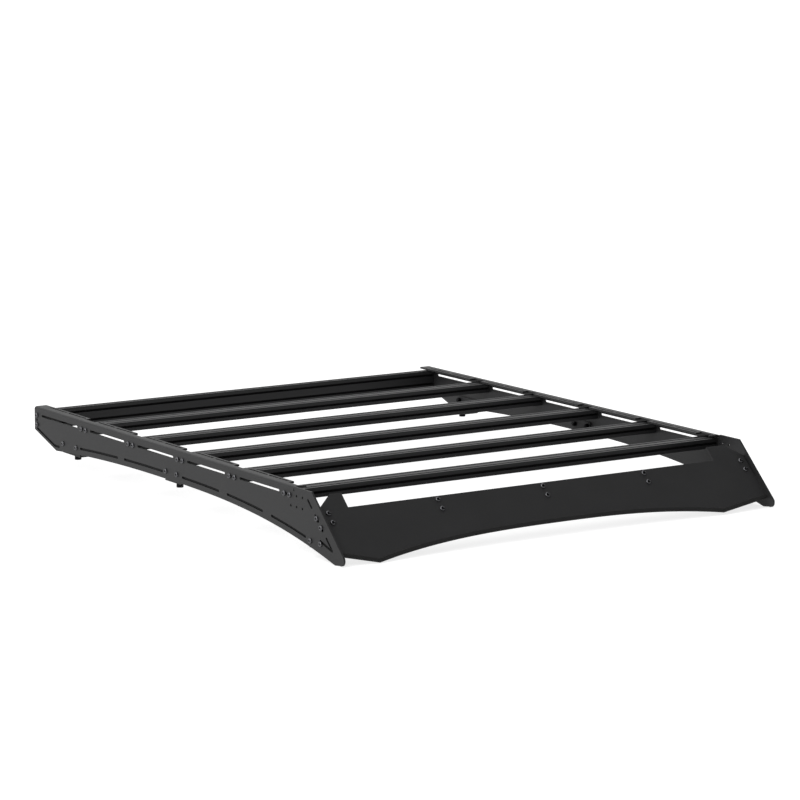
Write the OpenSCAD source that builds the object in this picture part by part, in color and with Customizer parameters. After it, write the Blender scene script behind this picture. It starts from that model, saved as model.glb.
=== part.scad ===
// Flat platform roof rack: two bent side plates, slotted crossbars, a sloped front fairing
// and six bolt-down feet. Front is at -Y, top is +Z, the origin is under the middle.

/* [Layout] */
// Overall width over the two side plates
rack_w = 1288; // [900:1:1600]
// Centre distance between neighbouring low crossbars
bar_pitch = 260; // [200:1:320]
// Centre distance from the last low crossbar to the standing rear crossbar
rear_pitch = 271; // [200:1:340]
// Distance from the front crossbar's centre to the plates' front top corner
nose_reach = 111.5; // [95:0.5:160]
// Plate left behind the rear crossbar
rear_margin = 1.3; // [0.5:0.1:20]

/* [Crossbars] */
// Wide side of the slotted bar
bar_w = 50.8; // [46:0.1:60]
// Narrow side of the slotted bar
bar_h = 25.4; // [22:0.1:32]
// Distance between the two slots of a wide side
slot_gap = 25.4; // [22:0.1:28]
// Width of a slot's mouth
slot_mouth = 6.5; // [5:0.1:9]
// Widest part of a slot behind its lips
slot_inner = 14.6; // [11:0.1:16]
// Thickness of the lips beside a slot's mouth
lip_t = 2.2; // [1.5:0.1:3]
// Depth of a slot from the bar's surface
slot_depth = 7; // [5.5:0.1:8]
// Tapped bore that runs the length of the bar
core_d = 6.8; // [4:0.1:8]
// Rounding of the bar's long edges
bar_round = 1.5; // [0.5:0.1:3]

/* [Side plates] */
// Sheet thickness of the side plates
plate_t = 4.8; // [3:0.1:6]
// Depth of the plate at the shallowest point of its lower edge
arch_depth = 82; // [72:0.5:110]
// Distance from the front crossbar's centre back to that shallowest point
arch_back = 615; // [500:1:700]
// How far the lower edge has dropped at the front crossbar's centre
front_drop = 33; // [15:0.5:45]
// How far the lower edge has dropped where the rear corner cut starts
rear_drop = 21.6; // [10:0.5:30]
// Length of the rear corner cut along the plate
rear_cut = 125; // [60:1:160]
// Height of the plate's rear edge
rear_edge_h = 62.5; // [55:0.5:75]
// Length of the plates' sloped front edge
front_edge = 192; // [150:1:220]
// Angle of the sloped front edge from upright
front_angle = 46.4; // [35:0.1:55]
// Rounding of the plate's nose
nose_r = 13; // [6:0.5:16]

/* [Top flange] */
// Width of the flange bent in over the bars
flange_w = 36; // [30:0.5:50]
// Inner radius of the bend
bend_r = 2.5; // [1:0.1:5]
// Gap between the flange's underside and the crossbars
flange_gap = 5; // [2:0.1:12]
// Distance from the front crossbar's centre to the flange's front end
flange_reach = 30; // [26:0.5:60]
// Depth of the notch over each crossbar
notch_depth = 17; // [8:0.5:24]
// Clearance beside the crossbar in its notch
notch_clear = 0.8; // [0.3:0.1:10]
// Width of the two long slots between notches
flange_slot_w = 6; // [4:0.1:8]
// Distance from the flange's inner edge to those slots' centre
flange_slot_in = 10; // [7:0.5:14]
// Metal left between the two slots
flange_slot_web = 8; // [5:0.5:30]

/* [Slots in the plates] */
// Width of the long slots
tie_w = 6.4; // [5:0.1:8]
// Distance from the flange's top to the upper slots' centre
tie_depth = 20.8; // [18:0.1:24]
// Distance from a crossbar's centre to the end of the slot beside it
tie_margin = 36; // [30:0.5:60]
// Distance from the lower edge to the lower slots' centre
lower_tie_in = 17; // [13:0.5:24]
// Distance from the sloped front edge to the slots along it
edge_row_in = 27; // [22:0.5:34]

/* [Fasteners] */
// Clearance hole for the assembly bolts
bolt_hole = 8.4; // [6.5:0.1:9]
// Access hole between a crossbar's two bolts
access_hole = 8; // [5:0.1:9]
// Small accessory hole in the side plates
lamp_hole = 6.6; // [5:0.1:8]
// Spacing of the accessory holes along the plate
lamp_pitch_y = 26.5; // [22:0.1:30]
// Spacing of the accessory holes down the plate
lamp_pitch_z = 26.5; // [22:0.1:30]

/* [Fairing] */
// Sheet thickness of the fairing
fairing_t = 3.2; // [2:0.1:5]
// Distance of the fairing behind the plates' sloped edge
fairing_in = 11.5; // [8:0.1:16]
// Gap between the fairing's ends and the side plates
fairing_gap = 2; // [0.5:0.1:8]
// Distance down the slope to the top of the fairing's ears
ear_top = 16; // [8:0.5:30]
// Width of each ear at the fairing's ends
ear_w = 80; // [50:1:140]
// Width of the corner cut at the top of each ear
ear_cut_w = 46; // [10:0.5:60]
// Height of the corner cut at the top of each ear
ear_cut_h = 38; // [10:0.5:41]
// Distance down the slope to the lower side of the cut-out
cutout_v = 58.8; // [50:0.5:64]
// Distance down the slope to the fairing's lower edge in the middle
arch_v = 175.5; // [150:0.5:190]
// How much further down the lower edge's corners reach
corner_drop = 43.5; // [20:0.5:50]
// Distance of those corners from the plate's outer face
corner_in = 97; // [70:1:160]
// How much the lower edge rises again from the corner to the plate
end_rise = 30; // [10:0.5:45]
// Distance down the slope to the upper bolt of each pair
pair_v = 70; // [66:0.5:80]
// Distance between the two bolts of a pair
pair_gap = 27.5; // [22:0.5:32]
// Distance from the plate's outer face to the end pairs
pair_in = 25.5; // [18:0.5:32]
// Depth of the rubber edge trim over the sheet's edge
trim_grip = 8; // [5:0.5:12]
// Wall thickness of the rubber edge trim
trim_t = 1.8; // [1:0.1:3]

/* [Brackets] */
// Sheet thickness of the brackets
bracket_t = 4; // [3:0.1:6]
// Leg width of the fairing's end brackets
end_leg = 30; // [26:0.5:40]
// Bolt spacing of the rear feet
rear_foot_pitch = 75; // [50:1:90]
// Bolt spacing of the middle feet
mid_foot_pitch = 57; // [40:1:80]
// Bolt spacing of the front feet
front_foot_pitch = 46; // [40:1:60]
// Distance from the plate's lower edge to the foot bolts' centre
foot_bolt_in = 20; // [16:0.5:26]
// Plate left around the foot bolts
foot_border = 12; // [9:0.5:16]
// Width of the foot's level leg
foot_leg = 42; // [34:0.5:60]
// How far the middle and rear feet's level legs lie below the plate's lower edge
foot_drop = 1.5; // [0.5:0.1:6]
// How far the front feet's level legs lie above the plate's lower edge
front_foot_lift = 6; // [3:0.5:10]
// Distance from the side plate's inner face to the foot's bore
foot_bore_in = 20; // [17:0.5:30]
// Bore for the bolt that holds the rack down
foot_bore = 8.6; // [6.5:0.1:10.5]
// Outer diameter of the foot's spacer
spacer_d = 18; // [15:0.5:24]
// Height of the foot's spacer
spacer_h = 14; // [6:0.5:16]

/* [Hidden] */
$fn = 48;

// Slit and round hole that end the bend
relief_w = 2.5;
relief_d = 5;

// Station of the accessory holes' middle column, and each hole's column and row
lamp_s = -44;
lamp_holes = [[-1, 0], [0, 0], [-1, 1], [0, 1], [1, 1]];

// Bent slot in the plate's rear corner: its ends and its bend
rear_slot_in = 14;
rear_slot_rise = 5;
rear_slot_bend = 8;
rear_slot_sag = 4;
rear_slot_tail = 28;

// Slots along the sloped edge, as distances down the slope, and the nose slot's second leg
row_slot_v = [13, 41];
row_slot_half = 12;
row_slot_up = 8;
nose_slot_v = [126, 168];
nose_slot_tail = [58, 17];

// Walls of a bar's slot: their upright part, and how much narrower the bottom is than the mouth
slot_wall = 1.2;
slot_floor_in = 0.4;

// Metal round the bolts of a fairing strap and of an end bracket
strap_border = 11;
end_border = 18;

// Small overshoot of cuts, and the number of points along a curved edge
eps = 0.5;
edge_steps = 28;
low_bars = 5;

// Stations along the rack, measured back from the front crossbar's centre
rear_bar_s = (low_bars - 1) * bar_pitch + rear_pitch;
rear_s = rear_bar_s + bar_h / 2 + rear_margin;
cut_s = rear_s - rear_cut;
corner_s = -nose_reach;

// The nose's centre, from the sloped edge's length and angle
nose_s = corner_s - front_edge * sin(front_angle) + nose_r * cos(front_angle);
nose_d = front_edge * cos(front_angle) + nose_r * sin(front_angle);
tip_s = nose_s - nose_r;

// Depth of the plate's lower edge below the flange's top
front_power = 2.75;
rear_power = 2.2;
function edge_depth(s) = s < arch_back
    ? arch_depth + front_drop * pow((arch_back - s) / arch_back, front_power)
    : arch_depth + rear_drop * pow((s - arch_back) / (cut_s - arch_back), rear_power);

// The lowest point of the nose sets the rack's height
nose_lean = 14;
rack_h = nose_d + nose_r;
rack_l = rear_s - tip_s;

// Places in the rack's own frame
function at_y(s) = s - tip_s - rack_l / 2;
function at_z(d) = rack_h - d;

bar_top = plate_t + flange_gap;
bar_mid = bar_top + bar_h / 2;
bar_len = rack_w - 2 * plate_t;
inner_x = rack_w / 2 - plate_t;
function bar_s(i) = i * bar_pitch;

// Stretches free of bars: from one bar's slot margin to the next one's, less beside the narrow rear bar
rear_tie_less = 8;
rear_tie_margin = tie_margin - rear_tie_less;
bays = [
    for (i = [0 : low_bars - 1])
        [
            bar_s(i) + tie_margin,
            i < low_bars - 1 ? bar_s(i + 1) - tie_margin : rear_bar_s - rear_tie_margin
        ]
];

// Feet: station of the centre, bolt spacing, top of the level leg below the lower edge
front_foot_s = corner_s - 17.5;
mid_foot_s = arch_back - 49;
rear_foot_s = cut_s - 78;
FRONT = [front_foot_s, front_foot_pitch, -front_foot_lift];
MIDDLE = [mid_foot_s, mid_foot_pitch, foot_drop];
REAR = [rear_foot_s, rear_foot_pitch, foot_drop];

// Slots that share the stretch from a to b: n of them, webs between, each longer than the last by more
function share_out(a, b, n, web, more) =
    let (len = (b - a - (n - 1) * web) / n)
    [
        for (i = [0 : n - 1])
            let (p = a + i * (len + web) + more * i * (i - n) / 2)
            [p, p + len + more * (i - (n - 1) / 2)]
    ];

// Ends of the lower slots: three from the front foot's bolts to the middle foot's, two from there to the rear foot's
lower_front_web = 38;
lower_front_more = 12.5;
lower_rear_web = 33;
lower_rear_more = 4;
after_front = 20;
before_mid = 26.5;
after_mid = 14.5;
before_rear = 22.5;
lower_ties = concat(
    share_out(
        front_foot_s + front_foot_pitch / 2 + after_front, mid_foot_s - mid_foot_pitch / 2 - before_mid,
        3, lower_front_web, lower_front_more
    ),
    share_out(
        mid_foot_s + mid_foot_pitch / 2 + after_mid, rear_foot_s - rear_foot_pitch / 2 - before_rear,
        2, lower_rear_web, lower_rear_more
    )
);

// Places on the fairing: x across, v down the slope, n behind its front face
fairing_s = corner_s + fairing_in / cos(front_angle);
function slope_s(v, n) = fairing_s - v * sin(front_angle) + n * cos(front_angle);
function slope_d(v, n) = v * cos(front_angle) + n * sin(front_angle);
row_n = edge_row_in - fairing_in;
pair_step = (rack_w - 2 * pair_in) / 4;
fairing_w = rack_w - 2 * plate_t - 2 * fairing_gap;

// A flat sheet standing along the rack: child outline in y and z, grown inwards from x
module sheet_yz(x, t) {
    translate([x, 0, 0]) rotate([90, 0, 90]) linear_extrude(t) children();
}

// Moves a fairing outline, drawn in x and minus v, onto the slope with its front face at n
module on_slope(n, t) {
    translate([0, at_y(slope_s(0, n + t)), at_z(slope_d(0, n + t))])
        rotate([90 - front_angle, 0, 0]) linear_extrude(t) children();
}

// Points of a half circle round c that starts at angle a
end_steps = 8;
function round_end(c, r, a) = [for (k = [0 : end_steps]) c + r * [cos(a + 180 * k / end_steps), sin(a + 180 * k / end_steps)]];

// Rounded slot from p to q, its ends included
module line_slot(p, q, w) {
    along = (q - p) / norm(q - p);
    turn = atan2(along[1], along[0]);
    polygon(concat(
        round_end(q - along * w / 2, w / 2, turn - 90),
        round_end(p + along * w / 2, w / 2, turn + 90)
    ));
}

// Rounded slot that keeps its distance from the plate's lower edge
module edge_slot(s0, s1) {
    steps = 8;
    half = tie_w / 2;
    a = s0 + half;
    b = s1 - half;
    path = [for (i = [0 : steps]) let (s = a + (b - a) * i / steps) [at_y(s), at_z(edge_depth(s) - lower_tie_in)]];
    first = path[1] - path[0];
    last = path[steps] - path[steps - 1];
    polygon(concat(
        round_end(path[steps], half, atan2(last[1], last[0]) - 90),
        [for (i = [steps - 1 : -1 : 1]) path[i] + [0, half]],
        round_end(path[0], half, atan2(first[1], first[0]) + 90),
        [for (i = [1 : steps - 1]) path[i] - [0, half]]
    ));
}

// Outline of the side plate without its flange
module plate_outline() {
    nose_steps = 12;
    from = 180 - front_angle;
    to = 270 + nose_lean;
    nose = [
        for (k = [0 : nose_steps])
            let (a = from + (to - from) * k / nose_steps)
            [at_y(nose_s) + nose_r * cos(a), at_z(nose_d) + nose_r * sin(a)]
    ];
    under = nose_s + 2 * nose_r;
    lower = [
        for (i = [0 : edge_steps])
            let (s = under + (cut_s - under) * i / edge_steps) [at_y(s), at_z(edge_depth(s))]
    ];
    polygon(concat(
        [[at_y(corner_s), rack_h]],
        nose,
        lower,
        [[at_y(rear_s), at_z(rear_edge_h)], [at_y(rear_s), rack_h]]
    ));
}

// Holes and slots through the standing part of the plate
module plate_cuts() {
    half = slot_gap / 2;
    // Crossbar bolts with the access hole between them
    for (i = [0 : low_bars - 1]) {
        for (k = [-1, 1]) translate([at_y(bar_s(i) + k * half), at_z(bar_mid)]) circle(d = bolt_hole);
        translate([at_y(bar_s(i)), at_z(bar_mid)]) circle(d = access_hole);
    }
    rear_mid = bar_top + bar_w / 2;
    for (k = [-1, 1]) translate([at_y(rear_bar_s), at_z(rear_mid + k * half)]) circle(d = bolt_hole);
    translate([at_y(rear_bar_s), at_z(rear_mid)]) circle(d = access_hole);
    // Upper slots, one in each bay
    for (b = bays)
        line_slot([at_y(b[0]), at_z(tie_depth)], [at_y(b[1]), at_z(tie_depth)], tie_w);
    // Lower slots along the curved edge, and the bent one in the rear corner
    for (t = lower_ties) edge_slot(t[0], t[1]);
    p = [at_y(rear_s) - rear_slot_in, at_z(rear_edge_h - rear_slot_rise)];
    q = [at_y(cut_s + rear_slot_bend), at_z(edge_depth(cut_s) - lower_tie_in + rear_slot_sag)];
    line_slot(p, q, tie_w);
    line_slot([q[0] + tie_w / 2, q[1]], [q[0] - rear_slot_tail, q[1]], tie_w);
    // Row along the sloped front edge: one open slot and two that take the fairing's bolts
    row = [
        [row_slot_v[0], row_slot_v[1], tie_w],
        [pair_v - row_slot_half, pair_v + row_slot_half, bolt_hole],
        [pair_v + pair_gap - row_slot_up, pair_v + pair_gap + row_slot_half, bolt_hole]
    ];
    for (r = row)
        line_slot(
            [at_y(slope_s(r[0], row_n)), at_z(slope_d(r[0], row_n))],
            [at_y(slope_s(r[1], row_n)), at_z(slope_d(r[1], row_n))],
            r[2]
        );
    // Bent slot in the nose, its legs along the two edges
    nose_top = [at_y(slope_s(nose_slot_v[0], row_n)), at_z(slope_d(nose_slot_v[0], row_n))];
    nose_end = [at_y(slope_s(nose_slot_v[1], row_n)), at_z(slope_d(nose_slot_v[1], row_n))];
    line_slot(nose_top, nose_end, tie_w);
    line_slot(nose_end, nose_end + nose_slot_tail, tie_w);
    // Accessory holes, two above three
    for (h = lamp_holes)
        translate([at_y(lamp_s + h[0] * lamp_pitch_y), at_z(tie_depth + h[1] * lamp_pitch_z)])
            circle(d = lamp_hole);
    // Foot bolts
    for (f = [FRONT, MIDDLE, REAR])
        for (k = [-1, 1])
            translate([at_y(f[0] + k * f[1] / 2), at_z(foot_bolt_d(f[0]))]) circle(d = bolt_hole);
}
function foot_bolt_d(s) = edge_depth(s) - foot_bolt_in;

// Flat of the flange, seen from above, with its notches over the low crossbars and two long slots a bay
module flange_flat() {
    x0 = -rack_w / 2;
    inner_edge = x0 + flange_w;
    notch_w = bar_w + 2 * notch_clear;
    difference() {
        translate([x0 + bend_r + plate_t, at_y(-flange_reach)])
            square([flange_w - bend_r - plate_t, rear_s + flange_reach]);
        for (i = [0 : low_bars - 1])
            translate([inner_edge - notch_depth, at_y(bar_s(i)) - notch_w / 2])
                square([notch_depth + eps, notch_w]);
        for (b = bays) {
            len = (b[1] - b[0] - flange_slot_web) / 2;
            for (k = [0, 1])
                translate([inner_edge - flange_slot_in, at_y(b[0] + k * (len + flange_slot_web))])
                    line_slot([0, 0], [0, len], flange_slot_w);
        }
    }
}

// Quarter round of the bend between the standing sheet and the flange
module bend_profile() {
    outer_r = bend_r + plate_t;
    intersection() {
        difference() {
            circle(r = outer_r);
            circle(r = bend_r);
        }
        translate([-outer_r, 0]) square(outer_r);
    }
}

module side_plate() {
    x0 = -rack_w / 2;
    outer_r = bend_r + plate_t;
    sheet_yz(x0, plate_t) difference() {
        plate_outline();
        plate_cuts();
        // The bend takes the place of the sheet's upper edge, with a slit and a round relief at its front end
        translate([at_y(-flange_reach) - relief_w, rack_h - outer_r])
            square([rear_s + flange_reach + relief_w + eps, outer_r + eps]);
        translate([at_y(-flange_reach) - relief_w / 2, rack_h - outer_r - relief_w / 2]) circle(d = relief_d);
    }
    translate([x0 + outer_r, at_y(rear_s), rack_h - outer_r])
        rotate([90, 0, 0]) linear_extrude(rear_s + flange_reach) bend_profile();
    translate([0, 0, rack_h - plate_t]) linear_extrude(plate_t) flange_flat();
}

// Half of a slot's section: mouth, lips and the tapering room behind them, opening upwards
module bar_slot() {
    translate([-slot_mouth / 2, -lip_t - eps]) square([slot_mouth, lip_t + 2 * eps]);
    polygon([
        [-slot_inner / 2, -lip_t], [slot_inner / 2, -lip_t],
        [slot_inner / 2, -lip_t - slot_wall], [slot_mouth / 2 - slot_floor_in, -slot_depth],
        [slot_floor_in - slot_mouth / 2, -slot_depth], [-slot_inner / 2, -lip_t - slot_wall]
    ]);
}

// Section of the slotted bar, wide side level, centred
module bar_section() {
    r = bar_round;
    difference() {
        union() {
            square([bar_w - 2 * r, bar_h], center = true);
            square([bar_w, bar_h - 2 * r], center = true);
            for (a = [-1, 1], b = [-1, 1])
                translate([a * (bar_w / 2 - r), b * (bar_h / 2 - r)]) circle(r = r);
        }
        for (k = [-1, 1]) {
            translate([k * slot_gap / 2, bar_h / 2]) bar_slot();
            translate([k * slot_gap / 2, -bar_h / 2]) rotate(180) bar_slot();
            translate([k * bar_w / 2, 0]) rotate(-90 * k) bar_slot();
            translate([k * slot_gap / 2, 0]) circle(d = core_d);
        }
    }
}

module low_bar(i) {
    color([0.13, 0.13, 0.14]) sheet_yz(-bar_len / 2, bar_len)
        translate([at_y(bar_s(i)), at_z(bar_mid)]) bar_section();
}
module crossbar_1() { low_bar(0); }
module crossbar_2() { low_bar(1); }
module crossbar_3() { low_bar(2); }
module crossbar_4() { low_bar(3); }
module crossbar_5() { low_bar(4); }
module crossbar_rear() {
    color([0.13, 0.13, 0.14]) sheet_yz(-bar_len / 2, bar_len)
        translate([at_y(rear_bar_s), at_z(bar_top + bar_w / 2)]) rotate(90) bar_section();
}

module side_plate_left() { color([0.3, 0.3, 0.3]) side_plate(); }
module side_plate_right() { color([0.3, 0.3, 0.3]) mirror([1, 0, 0]) side_plate(); }

// Distance down the slope to the fairing's lower edge at x across
arch_power = 2.8;
corner_x = rack_w / 2 - corner_in;
function lower_v(x) = arch_v + corner_drop * pow(abs(x) / corner_x, arch_power);

// Lower edge from the left end to the right end, moved down the slope by drop
function lower_edge(drop) = concat(
    [[-fairing_w / 2, -(lower_v(corner_x) - end_rise) - drop]],
    [for (i = [0 : edge_steps]) let (x = corner_x * (2 * i / edge_steps - 1)) [x, -lower_v(x) - drop]],
    [[fairing_w / 2, -(lower_v(corner_x) - end_rise) - drop]]
);
function backwards(list) = [for (i = [len(list) - 1 : -1 : 0]) list[i]];

module fairing_outline() {
    half = fairing_w / 2;
    cut_x = half - ear_w;
    polygon(concat(
        lower_edge(0),
        [
            [half, -ear_top - ear_cut_h], [half - ear_cut_w, -ear_top], [cut_x, -ear_top],
            [cut_x, -cutout_v], [-cut_x, -cutout_v], [-cut_x, -ear_top],
            [ear_cut_w - half, -ear_top], [-half, -ear_top - ear_cut_h]
        ]
    ));
}

// The two holes of a bolt pair at x
module pair_holes(x) {
    for (v = [pair_v, pair_v + pair_gap]) translate([x, -v]) circle(d = bolt_hole);
}

module fairing() {
    color([0.18, 0.18, 0.18]) on_slope(0, fairing_t) difference() {
        fairing_outline();
        for (i = [-2 : 2]) pair_holes(i * pair_step);
    }
}

// Rubber channel pressed over the fairing's lower edge
module fairing_trim() {
    color([0.06, 0.06, 0.06]) difference() {
        on_slope(-trim_t, fairing_t + 2 * trim_t)
            polygon(concat(lower_edge(trim_t), backwards(lower_edge(-trim_grip))));
        on_slope(0, fairing_t) polygon(concat(lower_edge(0), backwards(lower_edge(-trim_grip - 2))));
    }
}

// Angle between the fairing's end and the side plate
module fairing_bracket() {
    top = pair_v - end_border;
    span = pair_gap + 2 * end_border;
    difference() {
        union() {
            on_slope(fairing_t, bracket_t) translate([-inner_x, -top - span]) square([end_leg, span]);
            on_slope(fairing_t, end_leg) translate([-inner_x, -top - span]) square([bracket_t, span]);
        }
        on_slope(fairing_t - eps, bracket_t + 2 * eps) pair_holes(-2 * pair_step);
        for (v = [pair_v, pair_v + pair_gap])
            translate([-inner_x - eps, at_y(slope_s(v, row_n)), at_z(slope_d(v, row_n))])
                rotate([0, 90, 0]) cylinder(d = bolt_hole, h = bracket_t + 2 * eps);
    }
}
module fairing_bracket_left() { color([0.2, 0.2, 0.2]) fairing_bracket(); }
module fairing_bracket_right() { color([0.2, 0.2, 0.2]) mirror([1, 0, 0]) fairing_bracket(); }

// Strap that backs a bolt pair behind the sheet
module fairing_strap(i) {
    color([0.2, 0.2, 0.2]) on_slope(fairing_t, bracket_t) difference() {
        translate([i * pair_step - strap_border, -pair_v - pair_gap - strap_border])
            square([2 * strap_border, pair_gap + 2 * strap_border]);
        pair_holes(i * pair_step);
    }
}
module fairing_strap_left() { fairing_strap(-1); }
module fairing_strap_middle() { fairing_strap(0); }
module fairing_strap_right() { fairing_strap(1); }

// Depth of the level leg's upper face for a foot f
function foot_low(f) = edge_depth(f[0]) + f[2];
function foot_half(f) = f[1] / 2 + foot_border;

// Foot: an angle inside the plate, with two bolts and a level leg
module foot(f) {
    half = foot_half(f);
    under = foot_low(f) + bracket_t;
    top = foot_bolt_d(f[0]) - foot_border;
    color([0.22, 0.22, 0.22]) difference() {
        union() {
            translate([-inner_x, at_y(f[0] - half), at_z(under)])
                cube([bracket_t, 2 * half, under - top]);
            translate([-inner_x, at_y(f[0] - half), at_z(under)]) cube([foot_leg, 2 * half, bracket_t]);
        }
        for (k = [-1, 1])
            translate([-inner_x - eps, at_y(f[0] + k * f[1] / 2), at_z(foot_bolt_d(f[0]))])
                rotate([0, 90, 0]) cylinder(d = bolt_hole, h = bracket_t + 2 * eps);
        translate([foot_bore_in - inner_x, at_y(f[0]), at_z(under) - eps])
            cylinder(d = foot_bore, h = bracket_t + 2 * eps);
    }
}

// Round spacer under the foot's level leg
module spacer(f) {
    translate([foot_bore_in - inner_x, at_y(f[0]), at_z(foot_low(f) + bracket_t + spacer_h)])
        color([0.1, 0.1, 0.1]) difference() {
            cylinder(d = spacer_d, h = spacer_h);
            translate([0, 0, -eps]) cylinder(d = foot_bore, h = spacer_h + 2 * eps);
        }
}

module foot_front_left() { foot(FRONT); }
module foot_front_right() { mirror([1, 0, 0]) foot(FRONT); }
module foot_middle_left() { foot(MIDDLE); }
module foot_middle_right() { mirror([1, 0, 0]) foot(MIDDLE); }
module foot_rear_left() { foot(REAR); }
module foot_rear_right() { mirror([1, 0, 0]) foot(REAR); }
module spacer_front_left() { spacer(FRONT); }
module spacer_front_right() { mirror([1, 0, 0]) spacer(FRONT); }
module spacer_middle_left() { spacer(MIDDLE); }
module spacer_middle_right() { mirror([1, 0, 0]) spacer(MIDDLE); }
module spacer_rear_left() { spacer(REAR); }
module spacer_rear_right() { mirror([1, 0, 0]) spacer(REAR); }

side_plate_left();
side_plate_right();
crossbar_1();
crossbar_2();
crossbar_3();
crossbar_4();
crossbar_5();
crossbar_rear();
fairing();
fairing_trim();
fairing_bracket_left();
fairing_bracket_right();
fairing_strap_left();
fairing_strap_middle();
fairing_strap_right();
foot_front_left();
foot_front_right();
foot_middle_left();
foot_middle_right();
foot_rear_left();
foot_rear_right();
spacer_front_left();
spacer_front_right();
spacer_middle_left();
spacer_middle_right();
spacer_rear_left();
spacer_rear_right();
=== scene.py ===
"""Looks of the flat platform roof rack: coatings, rubber, bolts and nuts, in a plain studio.

Front is at -Y, top is +Z, lengths are in metres. Every CAD solid keeps its place and its mesh;
the fairing and its trim are shown by pieces with the photograph's outline.
"""

import math

import bmesh
import bpy
from mathutils import Matrix, Vector


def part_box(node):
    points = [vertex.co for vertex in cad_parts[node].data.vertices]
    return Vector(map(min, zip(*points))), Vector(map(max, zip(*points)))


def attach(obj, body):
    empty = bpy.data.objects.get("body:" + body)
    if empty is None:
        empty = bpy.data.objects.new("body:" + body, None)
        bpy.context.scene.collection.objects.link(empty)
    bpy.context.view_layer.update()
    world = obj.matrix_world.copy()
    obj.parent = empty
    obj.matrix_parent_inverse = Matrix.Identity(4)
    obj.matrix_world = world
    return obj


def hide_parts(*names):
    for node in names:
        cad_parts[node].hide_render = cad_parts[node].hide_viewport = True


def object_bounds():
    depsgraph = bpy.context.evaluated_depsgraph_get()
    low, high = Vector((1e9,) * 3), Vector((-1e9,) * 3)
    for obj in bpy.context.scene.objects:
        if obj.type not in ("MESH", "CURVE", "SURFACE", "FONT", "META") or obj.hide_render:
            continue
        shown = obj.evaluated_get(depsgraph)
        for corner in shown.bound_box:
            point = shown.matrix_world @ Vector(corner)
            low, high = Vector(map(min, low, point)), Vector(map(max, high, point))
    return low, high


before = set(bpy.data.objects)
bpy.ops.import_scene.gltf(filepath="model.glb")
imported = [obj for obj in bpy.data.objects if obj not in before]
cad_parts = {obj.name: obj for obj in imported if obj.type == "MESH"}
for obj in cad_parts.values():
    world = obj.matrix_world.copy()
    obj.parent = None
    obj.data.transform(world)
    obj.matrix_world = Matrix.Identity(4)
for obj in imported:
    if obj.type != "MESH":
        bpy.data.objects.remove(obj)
cad_low, cad_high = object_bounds()

MM = 0.001

# Colours and nodes

# How far the roughness of a coat, and of turned metal, wanders to each side of its middle
COAT_WANDER = 0.05
METAL_WANDER = 0.06


def linear(code):
    """An sRGB hex colour as the linear RGBA that the shaders take."""
    levels = [int(code[i : i + 2], 16) / 255 for i in (1, 3, 5)]
    return [c / 12.92 if c <= 0.04045 else ((c + 0.055) / 1.055) ** 2.4 for c in levels] + [1.0]


def add(tree, kind, inputs=None, **settings):
    """Adds one node with its settings, then sets or links its inputs, and returns it."""
    node = tree.nodes.new(kind)
    for key, value in settings.items():
        setattr(node, key, value)
    for key, value in (inputs or {}).items():
        if isinstance(value, bpy.types.NodeSocket):
            tree.links.new(value, node.inputs[key])
        else:
            node.inputs[key].default_value = value
    return node


def new_material(name):
    """An empty material with its output node."""
    material = bpy.data.materials.new(name)
    material.use_nodes = True
    tree = material.node_tree
    tree.nodes.clear()
    return material, tree, add(tree, "ShaderNodeOutputMaterial")


def per_mm(size):
    """Noise scale that makes a grain of this size in millimetres."""
    return 1 / (size * MM)


def edge_mask(tree, radius, gain):
    """1 on convex edges and 0 on flats: how far a normal rounded over radius mm turns from the real one."""
    rounded = add(tree, "ShaderNodeBevel", {"Radius": radius * MM}, samples=4)
    real = add(tree, "ShaderNodeNewGeometry")
    agree = add(
        tree,
        "ShaderNodeVectorMath",
        {0: rounded.outputs["Normal"], 1: real.outputs["Normal"]},
        operation="DOT_PRODUCT",
    )
    turned = add(tree, "ShaderNodeMath", {0: 1.0, 1: agree.outputs["Value"]}, operation="SUBTRACT")
    return add(
        tree, "ShaderNodeMath", {0: turned.outputs[0], 1: gain}, operation="MULTIPLY", use_clamp=True
    )


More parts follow.
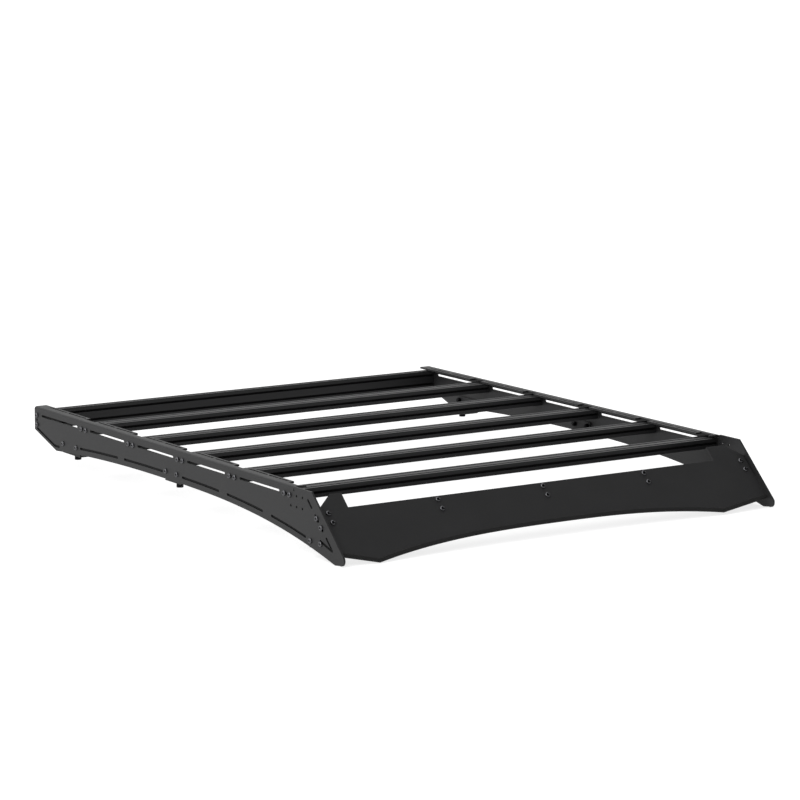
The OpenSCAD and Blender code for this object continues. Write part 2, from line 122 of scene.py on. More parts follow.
def powder_coat(name, base, thin_and_highlight, dusty, roughness):
    """Black polyester powder coat on sheet aluminium, sprayed and baked.

    To the eye it is a near-black matte with a soft sheen, a fine pebbled skin, slight clouding where
    the coat is thicker, and edges painted a little lighter: the coat is thin there, and a painted
    highlight.
    """
    material, tree, out = new_material(name)
    place = add(tree, "ShaderNodeTexCoord").outputs["Object"]
    # The clouding of a sprayed coat is about a hand wide
    cloud = add(tree, "ShaderNodeTexNoise", {"Vector": place, "Scale": per_mm(90), "Detail": 3.0})
    # The real grain is about 0.4 mm; it is drawn at 1.1 mm, because a pixel is about 2.4 mm
    grain = add(tree, "ShaderNodeTexNoise", {"Vector": place, "Scale": per_mm(1.1), "Detail": 2.0})
    # Orange peel left by the melting powder
    peel = add(tree, "ShaderNodeTexNoise", {"Vector": place, "Scale": per_mm(3.5), "Detail": 1.0})
    clouded = add(
        tree,
        "ShaderNodeMix",
        {"Factor": cloud.outputs["Fac"], "A": linear(base), "B": linear(dusty)},
        data_type="RGBA",
    )
    speckle = add(
        tree,
        "ShaderNodeMapRange",
        {
            "Value": grain.outputs["Fac"],
            "From Min": 0.35,
            "From Max": 0.65,
            "To Min": 0.82,
            "To Max": 1.18,
        },
    )
    grained = add(
        tree,
        "ShaderNodeMix",
        {"Factor": 1.0, "A": clouded.outputs["Result"], "B": speckle.outputs["Result"]},
        data_type="RGBA",
        blend_type="MULTIPLY",
    )
    # Convex edges are painted lighter: thin coat there, and a painted highlight
    edges = edge_mask(tree, radius=0.8, gain=1.6)
    worn_and_highlit = add(
        tree,
        "ShaderNodeMix",
        {"Factor": edges.outputs[0], "A": grained.outputs["Result"], "B": linear(thin_and_highlight)},
        data_type="RGBA",
    )
    matte = add(
        tree,
        "ShaderNodeMapRange",
        {
            "Value": cloud.outputs["Fac"],
            "To Min": roughness - COAT_WANDER,
            "To Max": roughness + COAT_WANDER,
        },
    )
    waves = add(
        tree, "ShaderNodeBump", {"Height": peel.outputs["Fac"], "Strength": 0.25, "Distance": 0.05 * MM}
    )
    skin = add(
        tree,
        "ShaderNodeBump",
        {
            "Height": grain.outputs["Fac"],
            "Strength": 0.5,
            "Distance": 0.06 * MM,
            "Normal": waves.outputs["Normal"],
        },
    )
    shader = add(
        tree,
        "ShaderNodeBsdfPrincipled",
        {
            "Base Color": worn_and_highlit.outputs["Result"],
            "Roughness": matte.outputs["Result"],
            "Normal": skin.outputs["Normal"],
            "IOR": 1.5,
        },
    )
    tree.links.new(shader.outputs[0], out.inputs["Surface"])
    return material


def drawn_coat(name, base, streak, thin_and_highlight, painted_slot_shade, roughness):
    """Satin black coat on an extruded aluminium bar.

    To the eye it is smoother than the plates, with a long soft highlight and faint lines that the die
    left along the bar. Inside the slots the colour is painted nearly black and the coat made dull: a
    painted shade in the recesses.
    """
    material, tree, out = new_material(name)
    place = add(tree, "ShaderNodeTexCoord").outputs["Object"]
    # Die lines are a few tenths of a millimetre apart; they are drawn 2 mm apart, and 0.6 m long
    stretched = add(
        tree,
        "ShaderNodeMapping",
        {"Vector": place, "Scale": (per_mm(600), per_mm(2), per_mm(2))},
    )
    lines = add(
        tree, "ShaderNodeTexNoise", {"Vector": stretched.outputs["Vector"], "Scale": 1.0, "Detail": 2.0}
    )
    grain = add(tree, "ShaderNodeTexNoise", {"Vector": place, "Scale": per_mm(1.3), "Detail": 1.0})
    tone = add(
        tree,
        "ShaderNodeMix",
        {"Factor": lines.outputs["Fac"], "A": linear(base), "B": linear(streak)},
        data_type="RGBA",
    )
    # Convex edges are painted lighter: worn coat there, and a painted highlight
    edges = edge_mask(tree, radius=0.6, gain=1.2)
    worn_and_highlit = add(
        tree,
        "ShaderNodeMix",
        {"Factor": edges.outputs[0], "A": tone.outputs["Result"], "B": linear(thin_and_highlight)},
        data_type="RGBA",
    )
    satin = add(
        tree,
        "ShaderNodeMapRange",
        {
            "Value": lines.outputs["Fac"],
            "To Min": roughness - COAT_WANDER,
            "To Max": roughness + COAT_WANDER,
        },
    )
    # Open faces are 1, and the inside of a slot, 7 mm deep, is under a half
    open_air = add(
        tree, "ShaderNodeAmbientOcclusion", {"Distance": 14 * MM}, samples=6, only_local=True
    )
    # Painted shade: inside the slots the colour goes nearly black, and the roughness goes to 1
    slot_shade_mask = add(
        tree,
        "ShaderNodeMapRange",
        {
            "Value": open_air.outputs["AO"],
            "From Min": 0.45,
            "From Max": 0.8,
            "To Min": 1.0,
            "To Max": 0.0,
        },
    )
    shaded = add(
        tree,
        "ShaderNodeMix",
        {"Factor": slot_shade_mask.outputs["Result"], "A": worn_and_highlit.outputs["Result"], "B": linear(painted_slot_shade)},
        data_type="RGBA",
    )
    dulled = add(
        tree,
        "ShaderNodeMix",
        {"Factor": slot_shade_mask.outputs["Result"], "A": satin.outputs["Result"], "B": 1.0},
        data_type="FLOAT",
    )
    ridges = add(
        tree, "ShaderNodeBump", {"Height": lines.outputs["Fac"], "Strength": 0.2, "Distance": 0.03 * MM}
    )
    skin = add(
        tree,
        "ShaderNodeBump",
        {
            "Height": grain.outputs["Fac"],
            "Strength": 0.2,
            "Distance": 0.03 * MM,
            "Normal": ridges.outputs["Normal"],
        },
    )
    shader = add(
        tree,
        "ShaderNodeBsdfPrincipled",
        {
            "Base Color": shaded.outputs["Result"],
            "Roughness": dulled.outputs["Result"],
            "Normal": skin.outputs["Normal"],
            "IOR": 1.5,
        },
    )
    tree.links.new(shader.outputs[0], out.inputs["Surface"])
    return material


def extruded_rubber(name, base, bloomed, roughness):
    """Extruded EPDM rubber edge trim: deep matte black, with a faint bloom and a broad dull highlight."""
    material, tree, out = new_material(name)
    place = add(tree, "ShaderNodeTexCoord").outputs["Object"]
    bloom = add(tree, "ShaderNodeTexNoise", {"Vector": place, "Scale": per_mm(25), "Detail": 3.0})
    pores = add(tree, "ShaderNodeTexNoise", {"Vector": place, "Scale": per_mm(0.9), "Detail": 1.0})
    tone = add(
        tree,
        "ShaderNodeMix",
        {"Factor": bloom.outputs["Fac"], "A": linear(base), "B": linear(bloomed)},
        data_type="RGBA",
    )
    skin = add(
        tree, "ShaderNodeBump", {"Height": pores.outputs["Fac"], "Strength": 0.3, "Distance": 0.05 * MM}
    )
    shader = add(
        tree,
        "ShaderNodeBsdfPrincipled",
        {
            "Base Color": tone.outputs["Result"],
            "Roughness": roughness,
            "Normal": skin.outputs["Normal"],
            "IOR": 1.52,
        },
    )
    tree.links.new(shader.outputs[0], out.inputs["Surface"])
    return material


def turned_metal(name, dark, light, roughness, pitch):
    """Turned metal, black anodised or blackened: a dark metallic sheen with fine tool rings.

    The rings run round the upright axis, which is the spacers' own. On bolts and nuts, which lie
    another way, they only make the sheen uneven.
    """
    material, tree, out = new_material(name)
    place = add(tree, "ShaderNodeTexCoord").outputs["Object"]
    rings_at = add(
        tree, "ShaderNodeMapping", {"Vector": place, "Scale": (per_mm(40), per_mm(40), per_mm(pitch))}
    )
    rings = add(
        tree, "ShaderNodeTexNoise", {"Vector": rings_at.outputs["Vector"], "Scale": 1.0, "Detail": 2.0}
    )
    tone = add(
        tree,
        "ShaderNodeMix",
        {"Factor": rings.outputs["Fac"], "A": linear(dark), "B": linear(light)},
        data_type="RGBA",
    )
    skin = add(
        tree, "ShaderNodeBump", {"Height": rings.outputs["Fac"], "Strength": 0.3, "Distance": 0.03 * MM}
    )
    satin = add(
        tree,
        "ShaderNodeMapRange",
        {
            "Value": rings.outputs["Fac"],
            "To Min": roughness - METAL_WANDER,
            "To Max": roughness + METAL_WANDER,
        },
    )
    shader = add(
        tree,
        "ShaderNodeBsdfPrincipled",
        {
            "Base Color": tone.outputs["Result"],
            "Metallic": 1.0,
            "Roughness": satin.outputs["Result"],
            "Normal": skin.outputs["Normal"],
        },
    )
    tree.links.new(shader.outputs[0], out.inputs["Surface"])
    return material


plate_coat = powder_coat("powder_coated_plate", "#1c1c1d", "#444444", "#272728", 0.5)
fairing_coat = powder_coat("powder_coated_fairing", "#1f1f20", "#3a3a3a", "#272728", 0.6)
bracket_coat = powder_coat("powder_coated_bracket", "#1a1a1b", "#3a3a3a", "#232324", 0.55)
# Darker than the plate's coat: a painted shade on the slots' floor
backing_shade_coat = powder_coat("powder_coated_backing_painted_dark", "#0b0b0c", "#161616", "#101011", 0.8)
# The bars' slots are painted #060606, a painted shade in the recesses
bar_coat = drawn_coat("satin_black_extrusion", "#19191a", "#222224", "#3c3c3e", "#060606", 0.48)
rubber = extruded_rubber("extruded_rubber_trim", "#080808", "#121212", 0.75)
# Real tool rings are about 0.2 mm apart; they are drawn 0.8 and 2 mm apart, so that they show
spacer_metal = turned_metal("black_anodised_aluminium", "#161617", "#262628", 0.42, 0.8)
bolt_metal = turned_metal("blackened_stainless_steel", "#5c5c5e", "#6e6e71", 0.22, 2.0)
# The nuts' metal, and also the painted shade in the bolts' sockets
nut_metal_and_socket_shade = turned_metal("black_oxide_steel_and_socket_shade", "#1c1c1d", "#2c2c2e", 0.42, 2.0)

FINISHES = {
    "side_plate": plate_coat,
    "crossbar": bar_coat,
    "fairing_trim": rubber,
    "fairing_bracket": bracket_coat,
    "fairing_strap": bracket_coat,
    "fairing": fairing_coat,
    "foot": bracket_coat,
    "spacer": spacer_metal,
}
# Each node takes the finish with the longest name that its own name starts with
for node_name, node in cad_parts.items():
    kinds = [kind for kind in FINISHES if node_name.startswith(kind)]
    finish = FINISHES[max(kinds, key=len)]
    node.data.materials.clear()
    node.data.materials.append(finish)

# Bolts, nuts and washers

SEGMENTS = 36
DOME_STEPS = 6
# Edges that turn by more than this stay sharp
SHARP = math.radians(28)

# Button head of an M8 socket screw: its rim, flat top and cut edges
HEAD_R = 7.0 * MM
HEAD_H = 4.4 * MM
HEAD_RIM = 0.9 * MM
HEAD_TOP_R = 3.5 * MM
HEAD_CUT = 0.3 * MM
# Its hexagon socket, with a wider mouth and a drilled point
SOCKET_FLATS = 5.0 * MM
SOCKET_DEPTH = 2.8 * MM
MOUTH_MORE = 0.5 * MM
MOUTH_DEPTH = 0.3 * MM
POINT_R = 0.4 * MM
POINT_DEPTH = 0.8 * MM
# Its shank, and the part of it in a tapped bore, with a tapered tip
SHANK_R = 4.0 * MM
TAPPED_R = 3.35 * MM
TIP_CUT = 0.3 * MM
TIP_LONG = 0.8 * MM
# M8 hexagon nut and washer
NUT_FLATS = 13.0 * MM
NUT_H = 6.5 * MM
NUT_CUT = 0.6 * MM
NUT_FACE_MORE = 0.1 * MM
COUNTERSINK_R = 0.6 * MM
COUNTERSINK_DEPTH = 0.5 * MM
WASHER_R = 8.0 * MM
WASHER_T = 1.6 * MM
WASHER_GAP = 0.3 * MM
THREAD_PITCH = 1.25 * MM
THREAD_DEPTH = 0.6 * MM
END_CUT = 0.8 * MM


def round_ring(radius, height):
    """One ring of a turned shape."""
    turns = [2 * math.pi / SEGMENTS * k for k in range(SEGMENTS)]
    return [Vector((radius * math.cos(turn), radius * math.sin(turn), height)) for turn in turns]


def hex_ring(flats, height, limit=math.inf):
    """One ring of a hexagon of this size across flats, its corners cut off at the limit radius."""
    ring = []
    for k in range(SEGMENTS):
        angle = 2 * math.pi * k / SEGMENTS
        off = (angle + math.pi / 6) % (math.pi / 3) - math.pi / 6
        radius = min(flats / 2 / math.cos(off), limit)
        ring.append(Vector((radius * math.cos(angle), radius * math.sin(angle), height)))
    return ring


def skin_rings(mesh, rings, matrix, dark_from=None):
    """Closed shape through the rings, whose faces take the second material from one ring on."""
    loops = [[mesh.verts.new(matrix @ p) for p in ring] for ring in rings]
    for row, (a, b) in enumerate(zip(loops, loops[1:])):
        for k in range(SEGMENTS):
            n = (k + 1) % SEGMENTS
            face = mesh.faces.new((a[k], a[n], b[n], b[k]))
            face.material_index = int(dark_from is not None and row >= dark_from)
    mesh.faces.new(loops[0][::-1])
    mesh.faces.new(loops[-1]).material_index = int(dark_from is not None)


def screw(mesh, matrix, plate, tapped):
    """Button head on z = 0, its shank down through the plate and on into a tapped bore or a nut."""
    rings = []
    if tapped > 0:
        end = -plate - tapped
        rings += [round_ring(TAPPED_R - TIP_CUT, end), round_ring(TAPPED_R, end + TIP_LONG)]
        rings += [round_ring(TAPPED_R, -plate)]
    rings += [round_ring(SHANK_R, -plate), round_ring(SHANK_R, 0)]
    rings += [round_ring(HEAD_R - HEAD_CUT, 0), round_ring(HEAD_R, HEAD_CUT), round_ring(HEAD_R, HEAD_RIM)]
    for k in range(1, DOME_STEPS + 1):
        angle = math.pi / 2 * k / DOME_STEPS
        radius = HEAD_TOP_R + (HEAD_R - HEAD_TOP_R) * math.cos(angle)
        rings.append(round_ring(radius, HEAD_RIM + (HEAD_H - HEAD_RIM) * math.sin(angle)))
    rings += [hex_ring(SOCKET_FLATS + MOUTH_MORE, HEAD_H), hex_ring(SOCKET_FLATS, HEAD_H - MOUTH_DEPTH)]
    # The socket is drawn in the dark metal of the nuts, a painted shade in the recess
    socket = len(rings) - 1
    floor = HEAD_H - SOCKET_DEPTH
    rings += [hex_ring(SOCKET_FLATS, floor), round_ring(POINT_R, floor - POINT_DEPTH)]
    skin_rings(mesh, rings, matrix, socket)


def nut_and_end(mesh, matrix, reach):
    """Washer and nut standing on z = 0, with the bolt's threaded end coming out by reach."""
    hole_r = SHANK_R + WASHER_GAP
    washer = [
        round_ring(hole_r, 0),
        round_ring(WASHER_R, 0),
        round_ring(WASHER_R, WASHER_T),
        round_ring(hole_r, WASHER_T),
    ]
    skin_rings(mesh, washer, matrix)
    top = WASHER_T + NUT_H
    face_r = NUT_FLATS / 2 + NUT_FACE_MORE
    height = top - COUNTERSINK_DEPTH
    nut = [
        hex_ring(NUT_FLATS, WASHER_T, face_r),
        hex_ring(NUT_FLATS, WASHER_T + NUT_CUT),
        hex_ring(NUT_FLATS, top - NUT_CUT),
        hex_ring(NUT_FLATS, top, face_r),
        round_ring(SHANK_R + COUNTERSINK_R, top),
        round_ring(SHANK_R, height),
    ]
    while height + THREAD_PITCH < top + reach:
        nut.append(round_ring(SHANK_R - THREAD_DEPTH, height + THREAD_PITCH / 2))
        height += THREAD_PITCH
        nut.append(round_ring(SHANK_R, height))
    nut.append(round_ring(SHANK_R - END_CUT, top + reach))
    skin_rings(mesh, nut, matrix)


def facing(point, outward):
    """Places z = 0 at the point, with +z outward."""
    return Matrix.Translation(point) @ Vector(outward).to_track_quat("Z", "Y").to_matrix().to_4x4()


def finish_piece(mesh, name, material, second=None):
    """Turns the mesh code's result into a piece that rides on the rack."""
    bmesh.ops.recalc_face_normals(mesh, faces=mesh.faces)
    for face in mesh.faces:
        face.smooth = True
    for edge in mesh.edges:
        edge.smooth = edge.calc_face_angle(0) < SHARP
    data = bpy.data.meshes.new(name)
    mesh.to_mesh(data)
    mesh.free()
    piece = bpy.data.objects.new(name, data)
    bpy.context.scene.collection.objects.link(piece)
    data.materials.append(material)
    if second:
        data.materials.append(second)
    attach(piece, "root")
    return piece


def flat_sheet(mesh, outline, low, high, matrix, low_material=0):
    """A sheet with this outline in the matrix's x and y, its faces at two heights."""
    under = [mesh.verts.new(matrix @ Vector((x, y, low))) for x, y in outline]
    over = [mesh.verts.new(matrix @ Vector((x, y, high))) for x, y in outline]
    mesh.faces.new(under[::-1]).material_index = low_material
    mesh.faces.new(over)
    for k in range(len(outline)):
        n = (k + 1) % len(outline)
        mesh.faces.new((under[k], under[n], over[n], over[k]))


def soften(piece, width, segments):
    """Rounds a piece's edges."""
    bevel = piece.modifiers.new("rounded edges", "BEVEL")
    bevel.width = width
    bevel.segments = segments
    bevel.limit_method = "ANGLE"
    bevel.angle_limit = SHARP
    bevel.harden_normals = True


# Side plate, and the sheet of brackets, straps and feet
SIDE_T = 4.8 * MM
SHEET_T = 4.0 * MM
TAPPED = 16.0 * MM
# Crossbar's two tapped bores, this far from its middle
BOLT_HALF = 12.7 * MM
# Foot's bolts, in from its ends and top
FOOT_BORDER = 12.0 * MM
# How far a bolt comes out of its nut
LONG_END = 2.6 * MM
SHORT_END = 0.3 * MM

SLOPE = math.radians(46.4)
DOWN_SLOPE = Vector((0, -math.sin(SLOPE), -math.cos(SLOPE)))
OUT_SLOPE = Vector((0, -math.cos(SLOPE), math.sin(SLOPE)))
# Fairing's bolt pairs: half their gap, and the strap's middle and back behind the front face
PAIR_HALF = 13.75 * MM
STRAP_MID = 5.2 * MM
STRAP_BACK = 7.2 * MM
# Sloped row of side bolts, behind the fairing's front face
ROW_BEHIND = 15.5 * MM
END_PAIR_IN = 25.5 * MM

outer_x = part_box("side_plate_right")[1].x
inner_x = outer_x - SIDE_T


def middle(node_name):
    """Centre of a node's box."""
    low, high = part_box(node_name)
    return (low + high) / 2


strap_centre = middle("fairing_strap_middle")
pair_at = [strap_centre + DOWN_SLOPE * PAIR_HALF * k for k in (-1, 1)]
row_at = [p - OUT_SLOPE * (ROW_BEHIND - STRAP_MID) for p in pair_at]

for side, sign in (("left", -1), ("right", 1)):
    outward = (sign, 0, 0)
    inward = (-sign, 0, 0)
    face_x = sign * outer_x
    nut_x = sign * (inner_x - SHEET_T)
    # Crossbar ends: two bolts side by side, or one above the other on the standing rear bar
    mesh = bmesh.new()
    for bar in ["crossbar_%d" % n for n in range(1, 6)]:
        c = middle(bar)
        for k in (-1, 1):
            screw(mesh, facing(Vector((face_x, c.y + k * BOLT_HALF, c.z)), outward), SIDE_T, TAPPED)
    c = middle("crossbar_rear")
    for k in (-1, 1):
        screw(mesh, facing(Vector((face_x, c.y, c.z + k * BOLT_HALF)), outward), SIDE_T, TAPPED)
    finish_piece(mesh, "crossbar_bolts_" + side, bolt_metal, nut_metal_and_socket_shade)
    # Feet: two bolts each, with nuts inside
    bolts = bmesh.new()
    nuts = bmesh.new()
    for foot in ("front", "middle", "rear"):
        low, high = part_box("foot_%s_%s" % (foot, side))
        for y in (low.y + FOOT_BORDER, high.y - FOOT_BORDER):
            z = high.z - FOOT_BORDER
            screw(bolts, facing(Vector((face_x, y, z)), outward), SIDE_T + SHEET_T, 0)
            nut_and_end(nuts, facing(Vector((nut_x, y, z)), inward), LONG_END)
    # Sloped row: two bolts that hold the fairing's bracket to the side
    for q in row_at:
        screw(bolts, facing(Vector((face_x, q.y, q.z)), outward), SIDE_T + SHEET_T, 0)
        nut_and_end(nuts, facing(Vector((nut_x, q.y, q.z)), inward), SHORT_END)
    finish_piece(bolts, "side_bolts_" + side, bolt_metal, nut_metal_and_socket_shade)
    finish_piece(nuts, "side_nuts_" + side, nut_metal_and_socket_shade)

# Fairing: five pairs through the sheet, with nuts behind the straps and brackets
bolts = bmesh.new()
nuts = bmesh.new()
pair_x = [middle("fairing_strap_" + n).x for n in ("left", "middle", "right")]
pair_x += [END_PAIR_IN - outer_x, outer_x - END_PAIR_IN]
for x in pair_x:
    for p in pair_at:
        at = Vector((x, p.y, p.z))
        screw(bolts, facing(at + OUT_SLOPE * STRAP_MID, OUT_SLOPE), STRAP_BACK, 0)
        nut_and_end(nuts, facing(at - OUT_SLOPE * (STRAP_BACK - STRAP_MID), -OUT_SLOPE), LONG_END)
finish_piece(bolts, "fairing_bolts", bolt_metal, nut_metal_and_socket_shade)
finish_piece(nuts, "fairing_nuts", nut_metal_and_socket_shade)

# Fairing and its edge trim. Their solids are symmetric, and the photograph's cut-out and lower corner
# come further in on the right, so pieces in the same plane stand for them.
FAIRING_T = 3.2 * MM
# From the top of the slope down to the middle of a bolt pair
PAIR_MIDDLE_DOWN = 83.75 * MM
# Between the fairing's ends and the side plates
END_GAP = 2.0 * MM
# Ears: how far down the slope they start, their cut outer corners and their widths
EAR_TOP = 16.0 * MM
EAR_CUT_W = 46.0 * MM
EAR_CUT_H = 38.0 * MM
EAR_LEFT_W = 79.0 * MM
EAR_RIGHT_W = 100.0 * MM
CUTOUT_DOWN = 59.0 * MM
# Lower edge: how far down the slope its arch, corners and ends are, and how far in the corners are
ARCH_DOWN = 175.5 * MM
LEFT_CORNER = (95.0 * MM, 220.0 * MM)
RIGHT_CORNER = (151.0 * MM, 213.0 * MM)
LEFT_END_DOWN = 191.0 * MM
RIGHT_END_DOWN = 188.0 * MM
ARCH_POWER = 2.65
ARCH_STEPS = 40
# Trim: its wall, how far it comes up the sheet, and how round its edges and the sheet's are
TRIM_WALL = 1.8 * MM
TRIM_GRIP = 8.0 * MM
TRIM_ROUND = 1.5 * MM
SHEET_ROUND = 0.4 * MM

fairing_half = inner_x - END_GAP
slope_top = strap_centre - DOWN_SLOPE * PAIR_MIDDLE_DOWN + OUT_SLOPE * STRAP_MID
on_slope = Matrix((
    (1, 0, 0, 0),
    (0, -DOWN_SLOPE.y, OUT_SLOPE.y, slope_top.y),
    (0, -DOWN_SLOPE.z, OUT_SLOPE.z, slope_top.z),
    (0, 0, 0, 1),
))


def arch_down(x):
    """How far down the slope the lower edge is at x."""
    corner_in, corner_down = LEFT_CORNER if x < 0 else RIGHT_CORNER
    return ARCH_DOWN + (corner_down - ARCH_DOWN) * (abs(x) / (fairing_half - corner_in)) ** ARCH_POWER


def lower_edge(drop):
    """The fairing's lower edge from left to right, moved down the slope by drop."""
    left = LEFT_CORNER[0] - fairing_half
    right = fairing_half - RIGHT_CORNER[0]
    inside = [left + (right - left) * k / ARCH_STEPS for k in range(ARCH_STEPS + 1)]
    edge = [(-fairing_half, LEFT_END_DOWN)]
    edge += [(x, arch_down(x)) for x in inside]
    edge += [(fairing_half, RIGHT_END_DOWN)]
    return [(x, -down - drop) for x, down in edge]


cut_left = EAR_LEFT_W - fairing_half
cut_right = fairing_half - EAR_RIGHT_W
# Upper edge from right to left: right ear, cut-out, left ear
upper_edge = [
    (fairing_half, -EAR_TOP - EAR_CUT_H),
    (fairing_half - EAR_CUT_W, -EAR_TOP),
    (cut_right, -EAR_TOP),
    (cut_right, -CUTOUT_DOWN),
    (cut_left, -CUTOUT_DOWN),
    (cut_left, -EAR_TOP),
    (EAR_CUT_W - fairing_half, -EAR_TOP),
    (-fairing_half, -EAR_TOP - EAR_CUT_H),
]
mesh = bmesh.new()
flat_sheet(mesh, lower_edge(0) + upper_edge, -FAIRING_T, 0, on_slope)
sheet = finish_piece(mesh, "fairing_sheet", fairing_coat)
soften(sheet, SHEET_ROUND, segments=2)
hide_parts("fairing")

mesh = bmesh.new()
trim_outline = lower_edge(TRIM_WALL) + lower_edge(-TRIM_GRIP)[::-1]
flat_sheet(mesh, trim_outline, -FAIRING_T - TRIM_WALL, TRIM_WALL, on_slope)
trim = finish_piece(mesh, "lower_edge_trim", rubber)
soften(trim, TRIM_ROUND, segments=4)
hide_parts("fairing_trim")

# Blind slots: the side plates' lower, rear and front slots show a dark floor in the photograph, so a
# thin backing closes them at the plate's inner face. The long slots of the upper row go right through.
BACKING_T = 0.6 * MM
# Holes longer than this are slots
SLOT_LONG = 10.0 * MM
# Slots of the upper row are longer than this, and lie within this of the plate's top
UPPER_ROW_LONG = 100.0 * MM
UPPER_ROW_DOWN = 30.0 * MM
# Points this close are one point, or lie in one plane
WELD = 0.001 * MM
SAME_PLANE = 0.01 * MM


def holes_in_face(node_name, x):
    """Outlines, in y and z, of the holes in the node's face at this x."""
    mesh = bmesh.new()
    mesh.from_mesh(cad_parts[node_name].data)
    bmesh.ops.remove_doubles(mesh, verts=mesh.verts, dist=WELD)
    flat = [face for face in mesh.faces if all(abs(v.co.x - x) < SAME_PLANE for v in face.verts)]
    members = set(flat)
    # Each corner on the face's border leads to the next one round its ring
    follow = {}
    for face in flat:
        for corner in face.loops:
            if any(other not in members for other in corner.edge.link_faces):
                follow[corner.vert] = corner.link_loop_next.vert
    outlines = []
    while follow:
        start, at = follow.popitem()
        ring = [start.co.yz]
        while at != start:
            ring.append(at.co.yz)
            at = follow.pop(at)
        outlines.append([tuple(point) for point in ring])
    mesh.free()
    # The ring with the most points is the plate's own outline
    return sorted(outlines, key=len)[:-1]


plate_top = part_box("side_plate_left")[1].z
for side, sign in (("left", -1), ("right", 1)):
    # Outlines in y and z, heights outward in x
    across = Matrix(((0, 0, sign, 0), (1, 0, 0, 0), (0, 1, 0, 0), (0, 0, 0, 1)))
    mesh = bmesh.new()
    for ring in holes_in_face("side_plate_" + side, sign * outer_x):
        along = [y for y, _ in ring]
        up = [z for _, z in ring]
        spread_y = max(along) - min(along)
        spread_z = max(up) - min(up)
        in_upper_row = spread_y > UPPER_ROW_LONG and min(up) > plate_top - UPPER_ROW_DOWN
        if max(spread_y, spread_z) > SLOT_LONG and not in_upper_row:
            flat_sheet(mesh, ring, inner_x, inner_x + BACKING_T, across, low_material=1)
    # Seen through the slots the backing is darker than the plate, a painted shade
    # From inside the plate looks smooth, so the backing has the plate's coat there
    finish_piece(mesh, "slot_backing_" + side, backing_shade_coat, plate_coat)

# Studio: floor, room and lamps

# Emission that makes the floor white where the camera sees it, and the share of it in reflections
FLOOR_LIFT = 0.75
LIFT_IN_GLOSS = 0.5
# Level of the room as it lights matte surfaces
ROOM_FILL = 0.35
FLOOR_HALF = 60.0


def studio_floor():
    """Pale floor that the camera sees as white where it is lit, and that keeps the rack's shadow."""
    data = bpy.data.meshes.new("floor")
    quarters = ((-1, -1), (1, -1), (1, 1), (-1, 1))
    data.from_pydata([(x * FLOOR_HALF, y * FLOOR_HALF, 0) for x, y in quarters], [], [(0, 1, 2, 3)])
    floor = bpy.data.objects.new("floor", data)
    # It touches the noses of the side plates, which reach a little under z = 0
    floor.location.z = cad_low.z
    bpy.context.scene.collection.objects.link(floor)
    material, tree, out = new_material("matte_paper_floor")
    place = add(tree, "ShaderNodeTexCoord").outputs["Object"]
    # Paper backdrop: clouding too faint to see, about a metre wide
    cloud = add(tree, "ShaderNodeTexNoise", {"Vector": place, "Scale": per_mm(1000)})
    tone = add(
        tree,
        "ShaderNodeMix",
        {"Factor": cloud.outputs["Fac"], "A": linear("#b6b6b6"), "B": linear("#b9b9b9")},
        data_type="RGBA",
    )
    paper = add(tree, "ShaderNodeBsdfDiffuse", {"Color": tone.outputs["Result"]})
    path = add(tree, "ShaderNodeLightPath")
    mirrored = add(
        tree,
        "ShaderNodeMath",
        {0: path.outputs["Is Glossy Ray"], 1: path.outputs["Is Transmission Ray"]},
        operation="MAXIMUM",
    )
    share = add(
        tree, "ShaderNodeMath", {0: mirrored.outputs[0], 1: LIFT_IN_GLOSS}, operation="MULTIPLY"
    )
    seen = add(
        tree,
        "ShaderNodeMath",
        {0: path.outputs["Is Camera Ray"], 1: share.outputs[0]},
        operation="MAXIMUM",
    )
    strength = add(tree, "ShaderNodeMath", {0: seen.outputs[0], 1: FLOOR_LIFT}, operation="MULTIPLY")
    lift = add(
        tree, "ShaderNodeEmission", {"Color": linear("#ffffff"), "Strength": strength.outputs[0]}
    )
    both = add(tree, "ShaderNodeAddShader", {0: paper.outputs[0], 1: lift.outputs[0]})
    tree.links.new(both.outputs[0], out.inputs["Surface"])
    data.materials.append(material)


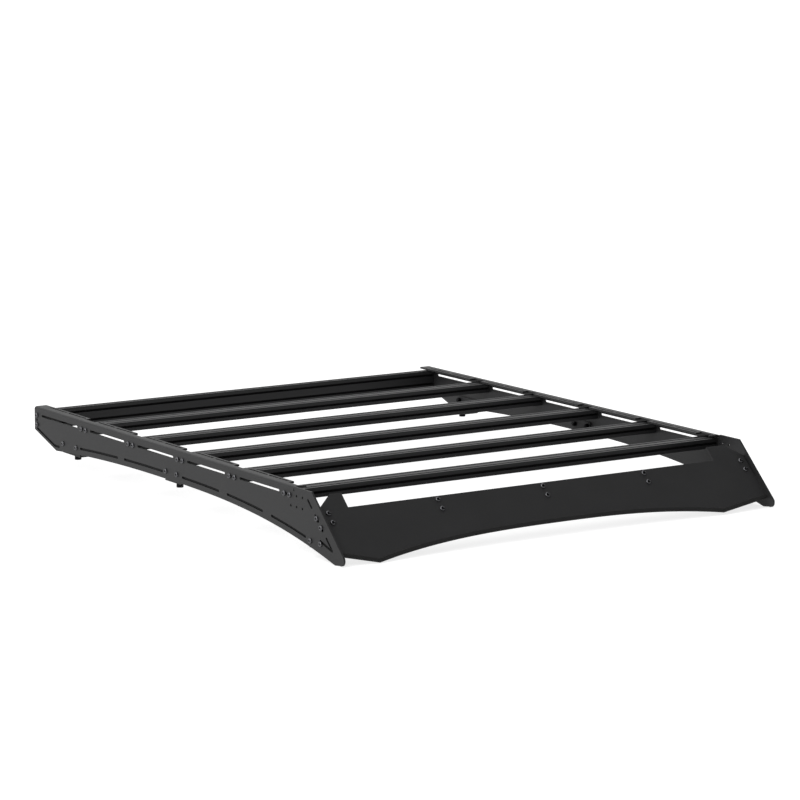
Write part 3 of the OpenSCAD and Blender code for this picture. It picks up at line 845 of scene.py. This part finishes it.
def studio_world():
    """White wall low behind the rack, and a dimmer room above it and in front, where the camera is."""
    world = bpy.data.worlds.new("studio")
    bpy.context.scene.world = world
    world.use_nodes = True
    tree = world.node_tree
    tree.nodes.clear()
    out = add(tree, "ShaderNodeOutputWorld")
    way = add(tree, "ShaderNodeTexCoord").outputs["Generated"]
    parts = add(tree, "ShaderNodeSeparateXYZ", {"Vector": way})
    behind = add(
        tree,
        "ShaderNodeMapRange",
        {"Value": parts.outputs["Y"], "From Min": -0.3, "From Max": 0.5, "To Min": 0.2, "To Max": 1.0},
        interpolation_type="SMOOTHSTEP",
    )
    low = add(
        tree,
        "ShaderNodeMapRange",
        {"Value": parts.outputs["Z"], "From Min": 0.15, "From Max": 0.6, "To Min": 1.0, "To Max": 0.2},
        interpolation_type="SMOOTHSTEP",
    )
    wall = add(
        tree,
        "ShaderNodeMath",
        {0: behind.outputs["Result"], 1: low.outputs["Result"]},
        operation="MULTIPLY",
    )
    path = add(tree, "ShaderNodeLightPath")
    plain = add(
        tree,
        "ShaderNodeMath",
        {0: path.outputs["Is Camera Ray"], 1: path.outputs["Is Transmission Ray"]},
        operation="MAXIMUM",
    )
    glossy = add(
        tree,
        "ShaderNodeMath",
        {0: path.outputs["Is Glossy Ray"], 1: wall.outputs[0]},
        operation="MULTIPLY",
    )
    white = add(
        tree, "ShaderNodeMath", {0: plain.outputs[0], 1: glossy.outputs[0]}, operation="MAXIMUM"
    )
    matte = add(
        tree, "ShaderNodeMath", {0: path.outputs["Is Diffuse Ray"], 1: ROOM_FILL}, operation="MULTIPLY"
    )
    level = add(
        tree, "ShaderNodeMath", {0: white.outputs[0], 1: matte.outputs[0]}, operation="MAXIMUM"
    )
    room = add(
        tree, "ShaderNodeBackground", {"Color": linear("#ffffff"), "Strength": level.outputs[0]}
    )
    tree.links.new(room.outputs[0], out.inputs["Surface"])


def soft_sun(name, towards, strength, angle):
    """A broad lamp whose light travels along the direction given."""
    data = bpy.data.lights.new(name, "SUN")
    data.energy = strength
    data.angle = math.radians(angle)
    lamp = bpy.data.objects.new(name, data)
    lamp.rotation_mode = "QUATERNION"
    lamp.rotation_quaternion = Vector(towards).to_track_quat("-Z", "Y")
    bpy.context.scene.collection.objects.link(lamp)


studio_floor()
studio_world()
soft_sun("key_from_left", towards=(1.0, 0.15, -0.75), strength=1.6, angle=60)
soft_sun("top_from_behind", towards=(-0.1, -0.5, -1.0), strength=1.0, angle=70)

# Camera at the photograph's place, fitted to its straight edges: 33 degrees round to the left of the
# front and about 10 degrees up, with a long lens. Lens and sensor are in millimetres.
CAMERA_AT = (-4.6355, -7.1734, 1.6630)
CAMERA_TILT = math.radians(80.438)
CAMERA_TURN = math.radians(-33.01)
LENS = 149.02
SENSOR = 36

camera_data = bpy.data.cameras.new("camera")
camera_data.lens = LENS
camera_data.sensor_width = SENSOR
camera = bpy.data.objects.new("camera", camera_data)
camera.location = CAMERA_AT
camera.rotation_euler = (CAMERA_TILT, 0, CAMERA_TURN)
bpy.context.scene.collection.objects.link(camera)
bpy.context.scene.camera = camera
bpy.context.scene.view_settings.view_transform = "Standard"
